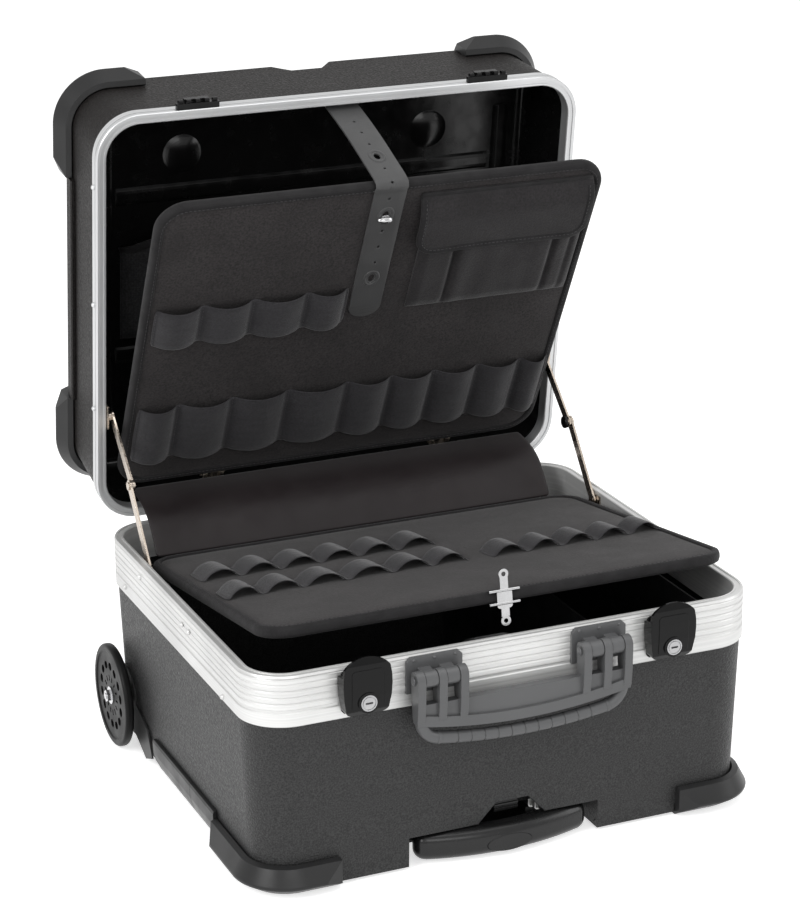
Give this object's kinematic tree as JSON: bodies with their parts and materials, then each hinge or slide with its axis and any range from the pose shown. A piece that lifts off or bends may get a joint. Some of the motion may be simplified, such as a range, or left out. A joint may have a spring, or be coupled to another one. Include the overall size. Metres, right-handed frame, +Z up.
{
  "type": "hard tool case",
  "caption": "Open hard tool case with aluminium rim, hinged lid, folding tool pallets, draw latches, carry handle, wheels and pull-out trolley grip.",
  "frame": {"origin": "centre of the flat underside plate on the floor plane, midway across the width", "axes": "+X right seen from the front, +Y towards the hinge at the back, +Z up"},
  "size_m": [0.5376, 0.5848, 0.6533],
  "materials": {
    "base_shell": "leather-grain moulded shell",
    "base_rim": "satin anodised",
    "base_rivets": "rivet heads",
    "base_bumper_left": "fine satin plastic",
    "base_bumper_right": "fine satin plastic",
    "base_runners": "fine satin plastic",
    "wheel_housings": "fine satin plastic",
    "wheel_left": "satin plastic wheel with a chromed nut",
    "wheel_right": "satin plastic wheel with a chromed nut",
    "trolley_cover": "moulded black plastic",
    "trolley_outer_tubes": "drawn tube",
    "trolley_middle_tubes": "drawn tube",
    "trolley_inner_tubes": "drawn tube",
    "trolley_grip": "moulded black plastic",
    "trolley_button": "moulded black plastic",
    "grip_catch": "moulded black plastic",
    "hinge_base_leaf": "plated steel",
    "hinge_lid_leaf": "plated steel",
    "hinge_pin": "plated steel",
    "latch_plates": "glossy black",
    "latch_lever_left": "glossy black",
    "latch_lever_right": "glossy black",
    "key_cylinder_left": "bright plated",
    "key_cylinder_right": "bright plated",
    "handle_brackets": "satin grey plastic",
    "handle_pins": "satin grey plastic",
    "carry_handle": "satin grey plastic",
    "dividers": "moulded black plastic",
    "base_strap": "smooth grey synthetic strap",
    "stay_base_pivots": "nickel-plated steel",
    "stay_lower_left": "nickel-plated steel",
    "stay_lower_right": "nickel-plated steel",
    "stay_upper_left": "nickel-plated steel",
    "stay_upper_right": "nickel-plated steel",
    "lid_shell": "leather-grain moulded shell",
    "lid_rim": "satin anodised",
    "lid_rivets": "rivet heads",
    "lid_bumper_front_left": "fine satin plastic",
    "lid_bumper_front_right": "fine satin plastic",
    "lid_bumper_rear_left": "fine satin plastic",
    "lid_bumper_rear_right": "fine satin plastic",
    "lid_runners": "leather-grain moulded shell",
    "lid_catches": "glossy black",
    "lid_liner": "glossy black moulding",
    "document_pocket": "black woven fabric",
    "stay_lid_pivots": "nickel-plated steel",
    "pallet_hinge_arms": "nickel-plated steel",
    "lid_strap": "smooth grey synthetic strap",
    "upper_pallet_board": "black woven fabric",
    "upper_pallet_clips": "nickel-plated steel",
    "upper_loops_high": "black woven fabric",
    "upper_loops_low": "black woven fabric",
    "tool_pocket": "black woven fabric",
    "pocket_flap": "black woven fabric",
    "pallet_strap": "smooth grey synthetic strap",
    "strap_stud": "bright plated",
    "lower_pallet_board": "black woven fabric",
    "lower_loops": "black woven fabric",
    "spring_clip": "bright plated",
    "link_sheet": "smooth synthetic leather"
  },
  "bodies": {
    "base": {"base_shell": "base_shell", "base_rim": "base_rim", "base_rivets": "base_rivets", "base_bumper_left": "base_bumper_left", "base_bumper_right": "base_bumper_right", "base_runners": "base_runners", "wheel_housings": "wheel_housings", "trolley_cover": "trolley_cover", "trolley_outer_tubes": "trolley_outer_tubes", "grip_catch": "grip_catch", "hinge_base_leaf": "hinge_base_leaf", "hinge_pin": "hinge_pin", "latch_plates": "latch_plates", "handle_brackets": "handle_brackets", "handle_pins": "handle_pins", "dividers": "dividers", "base_strap": "base_strap", "stay_base_pivots": "stay_base_pivots", "link_sheet": "link_sheet"},
    "lid": {"lid_shell": "lid_shell", "lid_rim": "lid_rim", "lid_rivets": "lid_rivets", "lid_bumper_front_left": "lid_bumper_front_left", "lid_bumper_front_right": "lid_bumper_front_right", "lid_bumper_rear_left": "lid_bumper_rear_left", "lid_bumper_rear_right": "lid_bumper_rear_right", "lid_runners": "lid_runners", "lid_catches": "lid_catches", "lid_liner": "lid_liner", "lid_strap": "lid_strap", "hinge_lid_leaf": "hinge_lid_leaf", "document_pocket": "document_pocket", "stay_lid_pivots": "stay_lid_pivots", "pallet_hinge_arms": "pallet_hinge_arms"},
    "upper_pallet": {"upper_pallet_board": "upper_pallet_board", "upper_pallet_clips": "upper_pallet_clips", "upper_loops_high": "upper_loops_high", "upper_loops_low": "upper_loops_low", "tool_pocket": "tool_pocket", "pocket_flap": "pocket_flap", "pallet_strap": "pallet_strap"},
    "strap_stud": {"strap_stud": "strap_stud"},
    "lower_pallet": {"lower_pallet_board": "lower_pallet_board", "lower_loops": "lower_loops", "spring_clip": "spring_clip"},
    "carry_handle": {"carry_handle": "carry_handle"},
    "latch_lever_left": {"latch_lever_left": "latch_lever_left"},
    "latch_lever_right": {"latch_lever_right": "latch_lever_right"},
    "key_cylinder_left": {"key_cylinder_left": "key_cylinder_left"},
    "key_cylinder_right": {"key_cylinder_right": "key_cylinder_right"},
    "stay_lower_left": {"stay_lower_left": "stay_lower_left"},
    "stay_lower_right": {"stay_lower_right": "stay_lower_right"},
    "stay_upper_left": {"stay_upper_left": "stay_upper_left"},
    "stay_upper_right": {"stay_upper_right": "stay_upper_right"},
    "trolley_middle": {"trolley_middle_tubes": "trolley_middle_tubes"},
    "trolley_grip": {"trolley_grip": "trolley_grip", "trolley_inner_tubes": "trolley_inner_tubes"},
    "trolley_button": {"trolley_button": "trolley_button"},
    "wheel_left": {"wheel_left": "wheel_left"},
    "wheel_right": {"wheel_right": "wheel_right"}
  },
  "joints": [
    {"name": "lid_hinge", "type": "hinge", "parent": "base", "child": "lid", "pos_m": [0, 0.2185, 0.2025], "axis": [1, 0, 0], "range_deg": [0, 82.1], "deforming": ["link_sheet"]},
    {"name": "upper_pallet_hinge", "type": "hinge", "parent": "lid", "child": "upper_pallet", "pos_m": [0, 0.23874, 0.24216], "axis": [1, 0, 0], "range_deg": [-20, 0], "deforming": ["lid_strap"]},
    {"name": "lower_pallet_hinge", "type": "hinge", "parent": "base", "child": "lower_pallet", "pos_m": [0, 0.151, 0.191], "axis": [1, 0, 0], "range_deg": [0, 8.5], "deforming": ["base_strap"]},
    {"name": "strap_stud_turn", "type": "hinge", "parent": "upper_pallet", "child": "strap_stud", "pos_m": [0, 0.07775, 0.52806], "axis": [0, -0.8838, -0.4679], "range_deg": [0, 90]},
    {"name": "carry_handle_swing", "type": "hinge", "parent": "base", "child": "carry_handle", "pos_m": [0, -0.226, 0.195], "axis": [-1, 0, 0], "range_deg": [0, 110]},
    {"name": "latch_lever_left_flip", "type": "hinge", "parent": "base", "child": "latch_lever_left", "pos_m": [-0.15, -0.2165, 0.174], "axis": [1, 0, 0], "range_deg": [0, 75]},
    {"name": "latch_lever_right_flip", "type": "hinge", "parent": "base", "child": "latch_lever_right", "pos_m": [0.15, -0.2165, 0.174], "axis": [1, 0, 0], "range_deg": [0, 75]},
    {"name": "key_left_turn", "type": "hinge", "parent": "latch_lever_left", "child": "key_cylinder_left", "pos_m": [-0.15, -0.223, 0.184], "axis": [0, 1, 0], "range_deg": [0, 90]},
    {"name": "key_right_turn", "type": "hinge", "parent": "latch_lever_right", "child": "key_cylinder_right", "pos_m": [0.15, -0.223, 0.184], "axis": [0, 1, 0], "range_deg": [0, 90]},
    {"name": "stay_lower_left_fold", "type": "hinge", "parent": "base", "child": "stay_lower_left", "pos_m": [-0.237, 0.103, 0.203], "axis": [1, 0, 0], "range_deg": [0, 114.19]},
    {"name": "stay_lower_right_fold", "type": "hinge", "parent": "base", "child": "stay_lower_right", "pos_m": [0.237, 0.103, 0.203], "axis": [1, 0, 0], "range_deg": [0, 114.19]},
    {"name": "stay_upper_left_fold", "type": "hinge", "parent": "lid", "child": "stay_upper_left", "pos_m": [-0.235, 0.213, 0.325], "axis": [1, 0, 0], "range_deg": [-132.2, 0]},
    {"name": "stay_upper_right_fold", "type": "hinge", "parent": "lid", "child": "stay_upper_right", "pos_m": [0.235, 0.213, 0.325], "axis": [1, 0, 0], "range_deg": [-132.2, 0]},
    {"name": "trolley_grip_pull", "type": "slide", "parent": "base", "child": "trolley_grip", "axis": [0, -1, 0], "range_m": [0, 0.46]},
    {"name": "trolley_middle_pull", "type": "slide", "parent": "base", "child": "trolley_middle", "axis": [0, -1, 0], "range_m": [0, 0.23]},
    {"name": "trolley_button_press", "type": "slide", "parent": "trolley_grip", "child": "trolley_button", "axis": [0, 1, 0], "range_m": [0, 0.003], "stiffness_N_per_m": 300},
    {"name": "wheel_left_roll", "type": "hinge", "parent": "base", "child": "wheel_left", "pos_m": [-0.259, 0.167, 0.0517], "axis": [1, 0, 0], "continuous": true},
    {"name": "wheel_right_roll", "type": "hinge", "parent": "base", "child": "wheel_right", "pos_m": [0.259, 0.167, 0.0517], "axis": [1, 0, 0], "continuous": true}
  ],
  "couplings": [
    {"joint": "upper_pallet_hinge", "follows": "lid_hinge", "ratio": -0.2436},
    {"joint": "lower_pallet_hinge", "follows": "lid_hinge", "ratio": 0.1035},
    {"joint": "stay_lower_left_fold", "follows": "lid_hinge", "ratio": 1.3908},
    {"joint": "stay_lower_right_fold", "follows": "lid_hinge", "ratio": 1.3908},
    {"joint": "stay_upper_left_fold", "follows": "lid_hinge", "ratio": -1.6101},
    {"joint": "stay_upper_right_fold", "follows": "lid_hinge", "ratio": -1.6101},
    {"joint": "trolley_middle_pull", "follows": "trolley_grip_pull", "ratio": 0.5}
  ]
}
